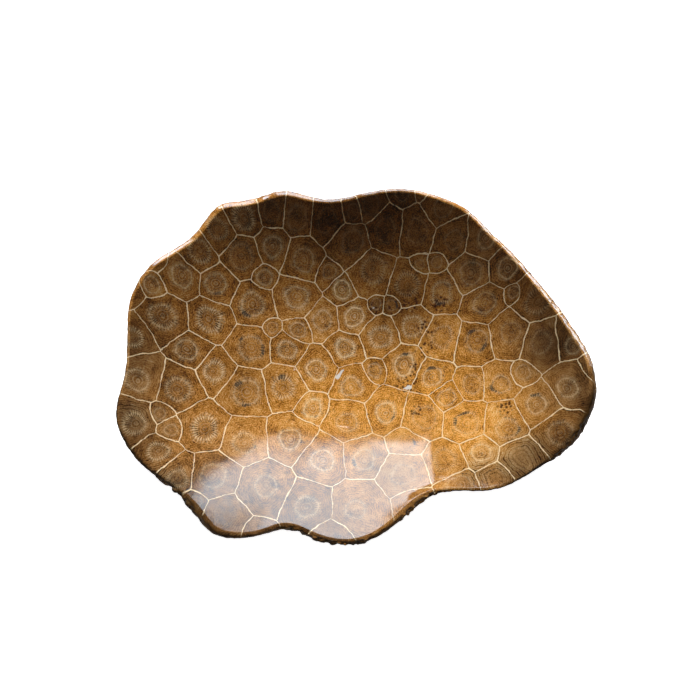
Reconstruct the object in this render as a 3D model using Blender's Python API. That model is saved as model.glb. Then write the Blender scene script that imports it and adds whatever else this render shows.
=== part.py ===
"""Fossil coral bowl: a free-form dish carved and polished from one block of fossil colonial coral.

The bowl is one piece of stone, 210 mm long. Its wavy rim follows the edge of the block, the inside
is a shallow polished dish, and the outside is a hand-ground body that rests on a small flat spot.
The back of the bowl is towards +Y, and its narrow right end is towards +X.
"""

import math

import bmesh
import bpy
from mathutils import Matrix, Vector, noise

MM = 0.001

# The rim seen from above, anticlockwise from the right end. Each row is the x and y of the lip's
# outermost point and the radius of the lip's outer side there, in mm.
RIM = (
    (104.6, -5, 2.6), (103.2, 4, 2.8), (97.8, 14.6, 2.8), (89.4, 28.2, 2.6), (79.4, 41.4, 2.3),
    (69.8, 52.8, 1.9), (59.6, 62.6, 1.6), (50, 72, 1.5), (38, 77.6, 1.5), (24, 81.2, 1.5),
    (11, 81, 1.5), (0, 79, 1.6), (-11, 77.2, 1.8), (-21, 78.6, 2.2), (-33, 81.5, 2.8),
    (-41, 79, 2.9), (-50, 76.5, 3.0), (-62, 74.2, 3.0), (-67.5, 67.4, 2.6), (-73, 60, 2.4),
    (-81, 54, 2.4), (-91, 46.8, 2.2), (-97.7, 36.9, 1.4), (-101, 25, 0.9), (-101, 10, 0.8),
    (-101.7, -5, 0.8), (-104.6, -18, 0.8), (-103, -29, 1.0), (-95.4, -41.2, 1.6), (-85.6, -49.7, 1.6),
    (-77, -56.2, 2.0), (-69.3, -65.4, 3.2), (-61, -74.7, 2.6), (-50, -76, 1.7), (-40, -74.2, 1.6),
    (-30, -70.6, 2.2), (-21.2, -74.5, 2.0), (-12.2, -77.6, 1.7), (-2, -78.8, 2.0), (8.2, -75.3, 1.8),
    (18.2, -68.3, 2.4), (26, -61.2, 2.8), (34, -55.4, 1.4), (45, -54.6, 0.7), (57, -55, 0.7),
    (68.2, -51.4, 0.8), (80.4, -43.9, 1.2), (91.6, -37, 3.4), (100.4, -25.8, 4.6), (105, -14, 3.8),
)

# How fast the outline and its short lobes die out on the way to the floor and to the flat spot. The lip
# climbs where the outline stands out from the dish's ellipse, and more where a short lobe stands out from
# the outline evened over this many of its points each way.
OUTLINE_POWER = 2.2
OUTLINE_RISE = 0.25
LOBE_POWER = 5
LOBE_POINTS = 5
LOBE_RISE = 0.6

# Heights above the flat spot. The back of the rim stands a little higher than the front.
FLOOR_THICKNESS = 9 * MM
DISH_DEPTH = 26 * MM
BACK_RISE = 2.5 * MM
RIM_RIPPLE = 0.6 * MM
RIM_RIPPLES = 5

# The dish: how steeply it climbs, where its lowest point lies, and its shape near the floor.
DISH_POWER = 2.2
LOWEST_POINT = Vector((-2 * MM, 6 * MM))
FLOOR_HALF_LENGTH = 100 * MM
FLOOR_HALF_WIDTH = 72 * MM
FLOOR_SHARE = 0.40
POLISHING_WAVE = 0.15 * MM
POLISHING_WAVE_LENGTH = 34 * MM

# The lip: a crisp inner shoulder, a narrow top, and an outer side that is round in front and ground to
# a bevel at the back. A row of the bevel is how far in from the outermost point it lies, and how far
# below the top, as shares of the outer side's radius.
LIP_TOP_WIDTH = 0.4 * MM
SHOULDER_RADIUS = 0.9 * MM
SHOULDER_ANGLE = math.radians(38)
OUTER_ANGLE = math.radians(120)
BEVEL = ((1, 0), (0.9, 0.03), (0.5, 0.27), (0.1, 0.54), (0, 0.8), (0.1, 1.2))
BEVEL_START = -8 * MM
BEVEL_BLEND = 16 * MM

# The outside: its curve down to the flat spot, and the lumps that hand grinding left.
FOOT_CENTRE = Vector((-3 * MM, 2 * MM))
FOOT_SHARE = 0.36
FOOT_HALF_LENGTH = 96 * MM
FOOT_HALF_WIDTH = 70 * MM
FOOT_EDGE_SLOPE = 0.14
LUMP_HEIGHT = 1.3 * MM
LUMP_LENGTH = 26 * MM
LUMP_OFFSET = Vector((7, 3, 5))

# The mesh: points round each ring, rings on each stretch of the section and how much closer together
# they stand near the lip, and how finely the rim's curve is measured between two of its rows.
RING_POINTS = 96
DISH_RINGS = 14
SHOULDER_RINGS = 2
OUTER_RINGS = 5
BODY_RINGS = 12
LIP_CROWDING = 1.35
FINE_STEPS = 24


def spline_point(points, position):
    """A point on the smooth closed curve through points, at position counted in points."""
    index = int(position)
    t = position - index
    before, start, end, after = (Vector(points[(index + k) % len(points)]) for k in (-1, 0, 1, 2))
    return 0.5 * (
        2 * start
        + (end - before) * t
        + (2 * before - 5 * start + 4 * end - after) * t**2
        + (3 * start - before - 3 * end + after) * t**3
    )


def even_rim(count):
    """The rim's rows in metres, as count of them spaced evenly along its outline."""
    fine = [spline_point(RIM, k / FINE_STEPS) * MM for k in range(FINE_STEPS * len(RIM) + 1)]
    lengths = [0.0]
    for start, end in zip(fine, fine[1:]):
        lengths.append(lengths[-1] + (end - start).xy.length)
    points = []
    index = 0
    for k in range(count):
        wanted = lengths[-1] * k / count
        while lengths[index + 1] < wanted:
            index += 1
        share = (wanted - lengths[index]) / (lengths[index + 1] - lengths[index])
        points.append(fine[index].lerp(fine[index + 1], share))
    return points


def inset(rim, distances):
    """The rim's outline moved inwards, square to itself, by a distance for each of its points."""
    moved = []
    for k, (point, distance) in enumerate(zip(rim, distances)):
        along = rim[(k + 1) % len(rim)] - rim[k - 1]
        moved.append(point.xy + distance * Vector((-along.y, along.x)).normalized())
    return moved


def evened(outline):
    """The outline with its short lobes averaged out."""
    span = range(-LOBE_POINTS, LOBE_POINTS + 1)
    weights = [1 + math.cos(math.pi * step / (LOBE_POINTS + 1)) for step in span]
    points = []
    for k in range(len(outline)):
        near = (outline[(k + step) % len(outline)].xy for step in span)
        points.append(sum((w * point for w, point in zip(weights, near)), Vector((0, 0))) / sum(weights))
    return points


def ellipse_reach(direction, half_length, half_width):
    """How far an ellipse about the origin reaches along direction, as a vector."""
    unit = direction.normalized()
    return unit / math.hypot(unit.x / half_length, unit.y / half_width)


def faded(edge, centre, half_sizes, share, smooth_share):
    """Points at share of the way from centre to edge. The outline fades to an ellipse at smooth_share."""
    grown = max(0.0, (share - smooth_share) / (1 - smooth_share))
    ring = []
    for point, even in zip(edge, evened(edge)):
        reach = even.lerp(point, grown**LOBE_POWER) - centre
        smooth = ellipse_reach(reach, *half_sizes)
        ring.append(centre + share * smooth.lerp(reach, grown**OUTLINE_POWER))
    return ring


def rim_height(direction):
    """Height of the lip's top in a direction from the middle, before the outline and its lobes lift it."""
    angle = math.atan2(direction.y, direction.x)
    rise = BACK_RISE * math.sin(angle) + RIM_RIPPLE * math.sin(RIM_RIPPLES * angle + 0.8)
    return FLOOR_THICKNESS + DISH_DEPTH + rise


def lip_tops(rim):
    """Height of the lip's top at each point of the rim."""
    tops = []
    for point, even in zip(rim, evened(rim)):
        reach = even - LOWEST_POINT
        smooth = ellipse_reach(reach, FLOOR_HALF_LENGTH, FLOOR_HALF_WIDTH)
        rise = OUTLINE_RISE * (reach.length - smooth.length) + LOBE_RISE * (point.xy.length - even.length)
        tops.append(rim_height(point) + rise)
    return tops


def dish_height(point, share, top):
    """Height of the dish at share of the way out, under a rim whose top is at top."""
    depth = DISH_DEPTH + (top - FLOOR_THICKNESS - DISH_DEPTH) * share**2
    depth -= SHOULDER_RADIUS * (1 - math.cos(SHOULDER_ANGLE)) * share**2
    wave = POLISHING_WAVE * noise.noise((point / POLISHING_WAVE_LENGTH).to_3d())
    return FLOOR_THICKNESS + depth * share**DISH_POWER + wave * math.sin(math.pi * share)


def dish_rings(rim, tops):
    """The rings of the dish, from the floor out to the lip's inner edge."""
    shoulder_width = LIP_TOP_WIDTH + SHOULDER_RADIUS * math.sin(SHOULDER_ANGLE)
    edge = inset(rim, [point.z + shoulder_width for point in rim])
    sizes = (FLOOR_HALF_LENGTH, FLOOR_HALF_WIDTH)
    rings = []
    for step in range(DISH_RINGS + 1):
        share = 1 - (1 - FLOOR_SHARE) * (1 - step / DISH_RINGS) ** LIP_CROWDING
        plan = faded(edge, LOWEST_POINT, sizes, share, FLOOR_SHARE)
        rings.append([(*p, dish_height(p, share, top)) for p, top in zip(plan, tops)])
    return rings


def outer_side(rim, step):
    """How far in from the rim's outermost points a ring of the outer side lies, and how far down."""
    angle = OUTER_ANGLE * step / OUTER_RINGS
    rounded = Vector((1 - math.sin(angle), 1 - math.cos(angle)))
    insets = []
    drops = []
    for point in rim:
        bevelled = min(1.0, max(0.0, (point.y - BEVEL_START) / BEVEL_BLEND))
        inwards, down = point.z * rounded.lerp(Vector(BEVEL[step]), bevelled)
        insets.append(inwards)
        drops.append(down)
    return insets, drops


def lip_rings(rim, tops):
    """The rings over the lip: the inner shoulder's arc, then the outer side's arc."""
    rings = []
    for step in range(1, SHOULDER_RINGS + 1):
        angle = SHOULDER_ANGLE * (1 - step / SHOULDER_RINGS)
        reach = LIP_TOP_WIDTH + SHOULDER_RADIUS * math.sin(angle)
        drop = SHOULDER_RADIUS * (1 - math.cos(angle))
        plan = inset(rim, [point.z + reach for point in rim])
        rings.append([(*p, top - drop) for p, top in zip(plan, tops)])
    for step in range(OUTER_RINGS + 1):
        insets, drops = outer_side(rim, step)
        rings.append([(*p, top - drop) for p, top, drop in zip(inset(rim, insets), tops, drops)])
    return rings


def body_rings(rim, tops):
    """The rings of the outside, from under the lip down to the edge of the flat spot."""
    insets, drops = outer_side(rim, OUTER_RINGS)
    edge = inset(rim, insets)
    starts = [top - drop for top, drop in zip(tops, drops)]
    sizes = (FOOT_HALF_LENGTH, FOOT_HALF_WIDTH)
    rings = []
    for step in range(1, BODY_RINGS + 1):
        climb = 1 - (step / BODY_RINGS) ** LIP_CROWDING
        share = FOOT_SHARE + (1 - FOOT_SHARE) * climb
        ring = []
        for point, start in zip(faded(edge, FOOT_CENTRE, sizes, share, FOOT_SHARE), starts):
            z = start * (FOOT_EDGE_SLOPE * climb + (1 - FOOT_EDGE_SLOPE) * climb**2)
            lump = noise.noise(Vector((*point, z)) / LUMP_LENGTH + LUMP_OFFSET)
            outward = (point - FOOT_CENTRE).normalized()
            swell = LUMP_HEIGHT * lump * math.sin(math.pi * climb)
            ring.append((*(point + outward * swell), z))
        rings.append(ring)
    return rings


def add_ring(mesh, loop, positions):
    """Extrudes a closed loop of vertices into the next ring, and returns the new loop."""
    edges = [mesh.edges.get((loop[k - 1], loop[k])) for k in range(len(loop))]
    grown = bmesh.ops.extrude_edge_only(mesh, edges=edges)["geom"]
    new = {item for item in grown if isinstance(item, bmesh.types.BMVert)}
    following = []
    for vertex, position in zip(loop, positions):
        ends = (edge.other_vert(vertex) for edge in vertex.link_edges)
        twin = next(end for end in ends if end in new)
        twin.co = position
        following.append(twin)
    return following


def fill_ring(loop_indices):
    """Closes one ring with a square grid of faces, so that no point has many faces round it."""
    bpy.ops.mesh.select_all(action="DESELECT")
    mesh = bpy.context.edit_object.data
    bm = bmesh.from_edit_mesh(mesh)
    bm.verts.ensure_lookup_table()
    ring = [bm.verts[k] for k in loop_indices]
    for k, vertex in enumerate(ring):
        vertex.select = True
        bm.edges.get((ring[k - 1], vertex)).select = True
    bmesh.update_edit_mesh(mesh)
    bpy.ops.mesh.fill_grid(span=RING_POINTS // 4, offset=0)


def shape_floor(mesh):
    """Gives the grid that closes the dish the same curve as the rings round it."""
    inside_the_first_ring = 0.99 * FLOOR_SHARE
    for vertex in mesh.vertices:
        point = vertex.co.xy
        reach = point - LOWEST_POINT
        share = math.hypot(reach.x / FLOOR_HALF_LENGTH, reach.y / FLOOR_HALF_WIDTH)
        if vertex.co.z > FLOOR_THICKNESS / 2 and share < inside_the_first_ring:
            vertex.co.z = dish_height(point, share, rim_height(reach))


def coral_material():
    """Polished brown stone, the mean colour of the coral."""
    material = bpy.data.materials.new("polished fossil coral")
    material.use_nodes = True
    shader = material.node_tree.nodes["Principled BSDF"]
    shader.inputs["Base Color"].default_value = (0.29, 0.13, 0.045, 1)
    shader.inputs["Roughness"].default_value = 0.2
    shader.inputs["Metallic"].default_value = 0.0
    return material


def build_bowl(collection):
    """The bowl: rings from the floor up over the lip and down to the flat spot, closed at both ends."""
    rim = even_rim(RING_POINTS)
    tops = lip_tops(rim)
    rings = dish_rings(rim, tops) + lip_rings(rim, tops) + body_rings(rim, tops)

    solid = bmesh.new()
    loop = bmesh.ops.create_circle(solid, segments=RING_POINTS, radius=FLOOR_HALF_WIDTH)["verts"]
    for vertex, position in zip(loop, rings[0]):
        vertex.co = position
    floor_loop = loop
    for positions in rings[1:]:
        loop = add_ring(solid, loop, positions)
    solid.verts.index_update()
    floor_indices = [vertex.index for vertex in floor_loop]
    foot_indices = [vertex.index for vertex in loop]
    mesh = bpy.data.meshes.new("bowl")
    solid.to_mesh(mesh)
    solid.free()

    bowl = bpy.data.objects.new("bowl", mesh)
    collection.objects.link(bowl)
    bpy.context.view_layer.objects.active = bowl
    bpy.ops.object.mode_set(mode="EDIT")
    bpy.ops.mesh.select_mode(type="VERT")
    fill_ring(floor_indices)
    fill_ring(foot_indices)
    bpy.ops.mesh.select_all(action="SELECT")
    bpy.ops.mesh.normals_make_consistent(inside=False)
    bpy.ops.object.mode_set(mode="OBJECT")
    shape_floor(mesh)

    middle = sum((Vector(corner) for corner in bowl.bound_box), Vector()) / 8
    mesh.transform(Matrix.Translation((-middle.x, -middle.y, 0)))
    mesh.shade_smooth()
    mesh.materials.append(coral_material())


for old in list(bpy.data.objects):
    bpy.data.objects.remove(old)

parts = bpy.data.collections.new("fossil coral bowl")
bpy.context.scene.collection.children.link(parts)
build_bowl(parts)
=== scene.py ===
import math

import bpy
import numpy as np
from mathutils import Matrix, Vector, noise


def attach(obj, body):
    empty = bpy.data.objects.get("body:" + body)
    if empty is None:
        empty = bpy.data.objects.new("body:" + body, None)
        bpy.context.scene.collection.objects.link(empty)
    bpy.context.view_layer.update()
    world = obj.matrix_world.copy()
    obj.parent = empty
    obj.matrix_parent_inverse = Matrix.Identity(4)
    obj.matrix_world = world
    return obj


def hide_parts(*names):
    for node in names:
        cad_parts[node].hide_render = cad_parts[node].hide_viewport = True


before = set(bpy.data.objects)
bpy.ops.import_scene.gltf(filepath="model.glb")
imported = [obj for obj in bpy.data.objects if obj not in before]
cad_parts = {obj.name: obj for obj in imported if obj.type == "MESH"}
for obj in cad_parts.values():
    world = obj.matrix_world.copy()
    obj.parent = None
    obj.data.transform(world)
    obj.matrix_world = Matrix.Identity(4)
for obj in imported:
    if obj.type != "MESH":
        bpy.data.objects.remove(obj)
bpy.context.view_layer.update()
bpy.ops.object.select_all(action="DESELECT")

# The body
# The bowl is one block of fossil colonial coral, sawn and ground by hand to a free-form dish and polished
# inside. Here it is the CAD solid, rounded by subdivision, with small chips along the outer side of the lip.
MM = 0.001
MERGE_DISTANCE = 0.001 * MM
FOOT_HEIGHT = 0.05 * MM
FOOT_SPAN = 24
ROUNDING_LEVELS = 2

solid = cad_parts["bowl"]
stone = bpy.data.objects.new("coral_stone", solid.data.copy())
stone.data.name = "coral_stone"
bpy.context.scene.collection.objects.link(stone)
stone.select_set(True)
bpy.context.view_layer.objects.active = stone

bpy.ops.object.mode_set(mode="EDIT")
bpy.ops.mesh.select_mode(type="FACE")
bpy.ops.mesh.select_all(action="SELECT")
bpy.ops.mesh.remove_doubles(threshold=MERGE_DISTANCE)
bpy.ops.mesh.tris_convert_to_quads()
bpy.ops.mesh.select_all(action="DESELECT")
bpy.ops.object.mode_set(mode="OBJECT")

# The flat spot is filled again with a grid of quads, which stays flat when it is rounded.
for face in stone.data.polygons:
    face.select = max(stone.data.vertices[corner].co.z for corner in face.vertices) < FOOT_HEIGHT
bpy.ops.object.mode_set(mode="EDIT")
bpy.ops.mesh.delete(type="FACE")
bpy.ops.mesh.select_mode(type="EDGE")
bpy.ops.mesh.select_all(action="DESELECT")
bpy.ops.mesh.select_non_manifold()
bpy.ops.mesh.fill_grid(span=FOOT_SPAN)
bpy.ops.mesh.select_all(action="SELECT")
bpy.ops.mesh.normals_make_consistent(inside=False)
bpy.ops.object.mode_set(mode="OBJECT")

rounding = stone.modifiers.new("rounding", "SUBSURF")
rounding.levels = ROUNDING_LEVELS
rounding.render_levels = ROUNDING_LEVELS
bpy.ops.object.modifier_apply(modifier="rounding")

# The lip's outer side is cut finer along the rim, so that it can carry chips of 1 mm.
# A chipped stretch is (x, y, x, y, depth) in mm, and the rest of the edge is only slightly ragged.
CHIP_ZONE_HEIGHT = 30.0 * MM
CHIP_ZONE_BACK = 30.0 * MM
CUT_TILT = 0.25
CUT_UNDERSIDE = -0.5
LONG_EDGE = 0.8 * MM
CHIP_CUTS = 3
CHIP_TILT = 0.3
CHIP_TILT_BLEND = 0.3
RAGGED_DEPTH = 0.3
CHIP_REACH = 7.0
CHIP_LENGTH = 2.4
FINE_CHIP_LENGTH = 0.4 * CHIP_LENGTH
FINE_CHIPS = 0.35
MOST_BULGE = 0.4
CHIPPED = [
    (-84.0, -50.0, -72.0, -62.0, 1.6),
    (-26.0, -71.0, -17.0, -76.0, 2.0),
    (-8.0, -79.0, 1.0, -80.0, 2.2),
    (22.0, -66.0, 36.0, -56.0, 1.6),
    (84.0, -41.0, 97.0, -30.0, 1.2),
]


def outward_tilt(vertex):
    """How far a vertex's normal leans away from the middle of the bowl: 0 is upright and 1 is level."""
    out = Vector((vertex.co.x, vertex.co.y, 0.0)).normalized()
    return vertex.normal.dot(out)


vertices = stone.data.vertices
on_lip = [
    v.co.z > CHIP_ZONE_HEIGHT
    and v.co.y < CHIP_ZONE_BACK
    and outward_tilt(v) > CUT_TILT
    and v.normal.z > CUT_UNDERSIDE
    for v in vertices
]
for vertex in vertices:
    vertex.select = False
for face in stone.data.polygons:
    face.select = False
for edge in stone.data.edges:
    start, end = edge.vertices
    long = (vertices[start].co - vertices[end].co).length > LONG_EDGE
    edge.select = long and on_lip[start] and on_lip[end]
bpy.ops.object.mode_set(mode="EDIT")
bpy.ops.mesh.select_mode(type="EDGE")
bpy.ops.mesh.subdivide(number_cuts=CHIP_CUTS)
bpy.ops.mesh.select_all(action="DESELECT")
bpy.ops.object.mode_set(mode="OBJECT")

moves = []
for vertex in stone.data.vertices:
    tilt = outward_tilt(vertex)
    if vertex.co.z < CHIP_ZONE_HEIGHT or tilt < CHIP_TILT:
        continue
    place = vertex.co / MM
    depth = RAGGED_DEPTH
    for x1, y1, x2, y2, most in CHIPPED:
        start = Vector((x1, y1))
        run = Vector((x2, y2)) - start
        share = min(1.0, max(0.0, (place.xy - start).dot(run) / run.length_squared))
        away = (place.xy - start - share * run).length
        depth = max(depth, most * (1.0 - away / CHIP_REACH))
    bite = noise.noise(place / CHIP_LENGTH) + FINE_CHIPS * noise.noise(place / FINE_CHIP_LENGTH)
    inwards = max(-MOST_BULGE, bite) * depth * min(1.0, (tilt - CHIP_TILT) / CHIP_TILT_BLEND)
    moves.append((vertex, -inwards * MM * vertex.normal))
for vertex, move in moves:
    vertex.co += move
bpy.ops.object.shade_smooth()

# The corallites
# Each cell of the coral is an upright tube, so one set of cells in plan marks the inside, the lip and the
# outside. A row is x, y, reach, pull, the ring's x, y and radius, and how clear and how plated it is, in mm
# and shares. The reach is how far the cell grew. A young bud has more pull, so its outline is round.
CORALLITES = [
    (-61.5, 59, 6.8, 1, -62.1, 61.4, 3.8, 0.35, 0.8),
    (-71.5, 50.3, 8, 1, -70.1, 51.5, 4.3, 0.45, 0.8),
    (-78, 40.5, 8.5, 1, -78.1, 40.8, 4.6, 0.45, 0.2),
    (-90.5, 34.5, 5, 1.8, -90.8, 34.8, 3.3, 0.4, 0.1),
    (-88, 45, 4, 1, -88, 45, 2.5, 0, 0),
    (-49.5, 66.5, 6.8, 1, -50.4, 66.3, 4.3, 0.5, 0.8),
    (-38, 69.5, 6, 1, -38, 69.5, 3.7, 0.1, 0.3),
    (-26.5, 68, 6.5, 1, -26.9, 67.4, 4.6, 0.2, 0.3),
    (-13, 66.5, 7, 1, -13, 66.5, 4.3, 0.1, 0.2),
    (-38, 56.5, 7, 1, -37.6, 56.2, 4.1, 0.5, 0.4),
    (-52, 51, 8, 1, -52.3, 51.5, 5.1, 0.25, 0.5),
    (-42, 43.4, 5.2, 2.6, -41.7, 43, 3.8, 0.5, 0.5),
    (-24.5, 51.5, 8, 1, -24.2, 51.5, 4.6, 0.35, 0.3),
    (-12.5, 46, 5, 1, -11.9, 46.7, 3.1, 0.25, 0.2),
    (-1.5, 70, 4.2, 1, -1.5, 70, 2.6, 0.15, 0.2),
    (6.5, 72.5, 6, 1, 6.5, 72.5, 3.7, 0.1, 0.2),
    (21, 78, 5.4, 1.2, 20.8, 77, 3.1, 0.15, 0.2),
    (13.5, 63.5, 8, 1, 13.4, 63.2, 4.6, 0.12, 0.4),
    (27, 62.5, 8, 1, 27.6, 62.4, 4.6, 0.15, 0.3),
    (29.5, 78, 2.5, 1, 29.5, 78, 1.8, 0, 0),
    (38, 71, 7.3, 1, 39.1, 70.7, 3.6, 0.2, 0.2),
    (42.5, 58, 7.5, 1, 44.1, 57.8, 3.8, 0.2, 0.3),
    (29, 49.2, 3.9, 1.6, 29, 49.2, 1.8, 0.3, 0.2),
    (36.7, 49.5, 4, 2, 36.7, 49.5, 2.1, 0.3, 0.2),
    (6.3, 46, 9.2, 1, 7.8, 48.2, 5.1, 0.3, 0.7),
    (-3.5, 57.5, 8.5, 1, -1.7, 59.2, 4.6, 0.2, 0.4),
    (57, 57, 7.6, 1, 58, 56.8, 3.6, 0.5, 0.15),
    (67, 45, 6.5, 1, 67.6, 44.1, 3.6, 0.55, 0.1),
    (-99, 30.5, 4.5, 1, -99, 30.5, 3, 0, 0),
    (-85.5, 21.5, 10, 1, -86.3, 22.4, 4.9, 0.45, 0.6),
    (-66.5, 23.5, 9, 1, -66.4, 23.2, 4.9, 0.55, 0.8),
    (-62.5, 38.5, 8, 1, -63.8, 39, 4.1, 0.5, 0.4),
    (-74.5, 8.5, 8, 1, -76.2, 8.7, 4.4, 0.45, 0.3),
    (-98.5, 12.5, 8.5, 1, -98.8, 11, 3.6, 0.4, 1),
    (-93, -5.5, 9.2, 1, -96.4, -7.7, 4.1, 0.45, 0.5),
    (-79.5, -7.5, 9.6, 1, -79.2, -10, 4.9, 0.35, 0.6),
    (-63.6, -0.1, 8.2, 1, -64, -0.1, 4.2, 0.6, 0.9),
    (-47, 31.5, 8.5, 1, -47.6, 31.5, 4.9, 0.5, 0.5),
    (-38.5, 21.3, 3.5, 2.2, -38.5, 21.3, 2.3, 0.3, 0.2),
    (-27.5, 35, 8.5, 1, -27.2, 35.7, 4.8, 0.55, 0.4),
    (-26.5, 21, 5.6, 1.2, -26.5, 20.8, 3.6, 0.45, 0.15),
    (-15.8, 25.5, 7, 1, -15.8, 25.5, 4.1, 0.5, 0.3),
    (-6.4, 39.2, 5.8, 1, -6.4, 39.2, 3.8, 0.8, 0.1),
    (-48.5, 12.5, 8.5, 1, -47.8, 11.8, 4.9, 0.35, 0.4),
    (-31, 12, 7, 1, -31.7, 11.6, 3.8, 0.6, 0.6),
    (-18, 3.5, 8.5, 1, -18.2, 2.6, 3.8, 0.7, 0.1),
    (-5, 13, 7.5, 1, -5, 13, 4.1, 0.9, 0.6),
    (-1, 27.2, 7.3, 1, -1, 27.2, 4.1, 0.85, 0.1),
    (9.3, 33, 3.5, 2.2, 9.3, 33, 2.3, 0.3, 0.3),
    (16.2, 32.3, 3.5, 2.2, 16.2, 32.3, 2.3, 0.2, 0.3),
    (23.5, 41, 8, 1, 23.5, 41, 4.6, 0.3, 0.9),
    (26, 23, 7.5, 1, 25.7, 22.1, 4.4, 0.6, 0.6),
    (10.3, 17.7, 8, 1, 11.3, 17.8, 4.5, 0.55, 0.7),
    (38.5, 37, 8, 1, 39.2, 37.1, 4.1, 0.45, 0.6),
    (38.5, 17, 8.5, 1, 39.1, 17.3, 4.4, 0.35, 0.8),
    (21.5, 5.5, 7.9, 1, 21.9, 5, 4.5, 0.65, 0.1),
    (8.3, 2.6, 5, 1.6, 8.3, 2.6, 3.3, 0.45, 0.5),
    (51, 44, 8, 1, 51.6, 44.3, 5.1, 0.3, 0.2),
    (57, 30.5, 8, 1, 58.2, 31.1, 4.4, 0.3, 0.3),
    (70, 33, 3.4, 2.2, 70.6, 33.8, 2.6, 0.35, 0.1),
    (80, 30, 8, 1, 80.4, 28.2, 4.6, 0.25, 0.8),
    (67.5, 16, 8.5, 1, 69.6, 16.9, 4.1, 0.2, 0.3),
    (54, 14, 8.5, 1, 54.9, 14.9, 4.6, 0.3, 0.2),
    (82, 11, 7.5, 1, 82, 11, 4.1, 0.15, 0.5),
    (94, 12, 6.5, 1, 95, 7.1, 3.1, 0.35, 0.6),
    (103.5, -4.5, 4.5, 1, 103.5, -4.5, 2.8, 0, 0),
    (-86, -21.6, 4.2, 1.6, -86.2, -22.6, 2.6, 0.25, 0.3),
    (-81.3, -28.8, 4.8, 1.6, -81.1, -29.3, 2.8, 0.3, 0.3),
    (-97.5, -26, 8.8, 1, -96.3, -27.4, 4.2, 0.4, 0.8),
    (-85.7, -40.7, 7.5, 1, -85.7, -39.7, 3.8, 0.45, 0.8),
    (-67.2, -27, 9.4, 1, -67, -27.5, 5, 0.55, 0.9),
    (-50, -8.8, 9.8, 1, -49.2, -9, 5.6, 0.4, 0.3),
    (-33, -5, 8.8, 1, -33.2, -5.9, 4.6, 0.5, 0.8),
    (-20.3, -15, 6.3, 1.5, -19.6, -15.6, 4.1, 0.85, 0.3),
    (-1.3, -3.3, 8, 1, -2.5, -5.9, 4.4, 0.6, 0.4),
    (-29.5, -30.5, 9.2, 1, -29.6, -31.1, 4.2, 0.6, 0.2),
    (-49.5, -32, 9.5, 1, -50, -33.6, 4.1, 0.5, 0.6),
    (-15, -40, 9.5, 1, -15, -40.7, 4.4, 0.5, 0.2),
    (-3.3, -21.3, 8.4, 1, -4, -22.2, 3.8, 0.4, 0.3),
    (13.5, -17.3, 8.3, 1, 13.3, -17.6, 3.9, 0.75, 0.3),
    (29, -20.5, 8.5, 1, 30.7, -20, 5.1, 0.25, 0.2),
    (34, -1, 7, 1, 34.2, -1.5, 4.1, 0.55, 0.1),
    (40.5, -10.5, 5.8, 1, 40.5, -11.4, 3.6, 0.5, 0.1),
    (48.5, -23, 8.5, 1, 49.2, -24.2, 4.9, 0.35, 0.4),
    (51.5, -5.5, 6.7, 1.4, 52.3, -5.5, 4.1, 0.35, 0.3),
    (64, -5.5, 7, 1, 64.8, -6.7, 3.6, 0.4, 0.3),
    (73, -3, 4.5, 1.6, 74.2, -2.3, 3.1, 0.3, 0.3),
    (79.2, -19.5, 8, 1, 79.5, -17.8, 3.6, 0.45, 0.2),
    (95, -10.5, 7.5, 1, 91.8, -11.4, 4.1, 0.4, 0.3),
    (86.8, -31, 8.7, 1, 87.9, -31.5, 4.6, 0.25, 0.5),
    (65.7, -25.3, 9, 1, 66.4, -28.1, 4.6, 0.45, 0.5),
    (54, -38, 7, 1, 54.6, -38.8, 4.1, 0.6, 0.2),
    (71.3, -42, 8.5, 1, 71.3, -42, 4.5, 0.1, 0.3),
    (-77.5, -49, 7.5, 1, -76.8, -51.9, 4.1, 0.35, 0.9),
    (-62, -50, 9.9, 1, -62.7, -49.8, 5.1, 0.3, 0.3),
    (-69, -62, 4.5, 1, -69, -62, 2.8, 0.2, 0.8),
    (-56, -67, 8, 1, -56, -67, 4.5, 0.1, 0.3),
    (-40, -55, 10.5, 1, -39.7, -53.6, 4.1, 0.3, 0.2),
    (-42, -74.5, 4.2, 1, -42, -74.5, 2.6, 0, 0),
    (-22, -62, 9.5, 1, -21.7, -63.3, 4.1, 0.45, 0.5),
    (-11, -76, 5, 1, -11, -76, 3.1, 0.1, 0.3),
    (1, -62, 10, 1, -0.6, -64.4, 3.6, 0.3, 0.3),
    (3.5, -39, 8.6, 1, 3.6, -40.7, 4.2, 0.4, 0.1),
    (22, -32.5, 6.5, 1, 22, -32.5, 3.6, 0.2, 0.2),
    (21, -47.5, 10, 1, 21, -47.5, 4.5, 0.25, 0.2),
    (24.5, -60, 6.3, 1, 26.5, -60.5, 2.8, 0, 0),
    (38.5, -43, 8.5, 1, 38.9, -41.1, 4.6, 0.3, 0.8),
    (43.5, -53.5, 7, 1, 44.6, -53.9, 5.6, 0.25, 0.1),
    (60, -50.5, 6, 1, 60, -50.5, 3.7, 0.1, 0.3),
]
mesh = stone.data
vertex_count = len(mesh.vertices)
face_count = len(mesh.polygons)
corner_count = len(mesh.loops)
points = np.empty(vertex_count * 3)
normals = np.empty(vertex_count * 3)
corner_vertex = np.empty(corner_count, int)
corner_start = np.empty(face_count, int)
corner_total = np.empty(face_count, int)
mesh.vertices.foreach_get("co", points)
mesh.vertices.foreach_get("normal", normals)
mesh.loops.foreach_get("vertex_index", corner_vertex)
mesh.polygons.foreach_get("loop_start", corner_start)
mesh.polygons.foreach_get("loop_total", corner_total)
points = points.reshape(-1, 3) / MM
normals = normals.reshape(-1, 3)
corner_face = np.repeat(np.arange(face_count), corner_total)


def rise(values, start, width):
    """0 up to the start and 1 from the width beyond it on. A negative width turns it round."""
    return np.clip((values - start) / width, 0.0, 1.0)


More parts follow.
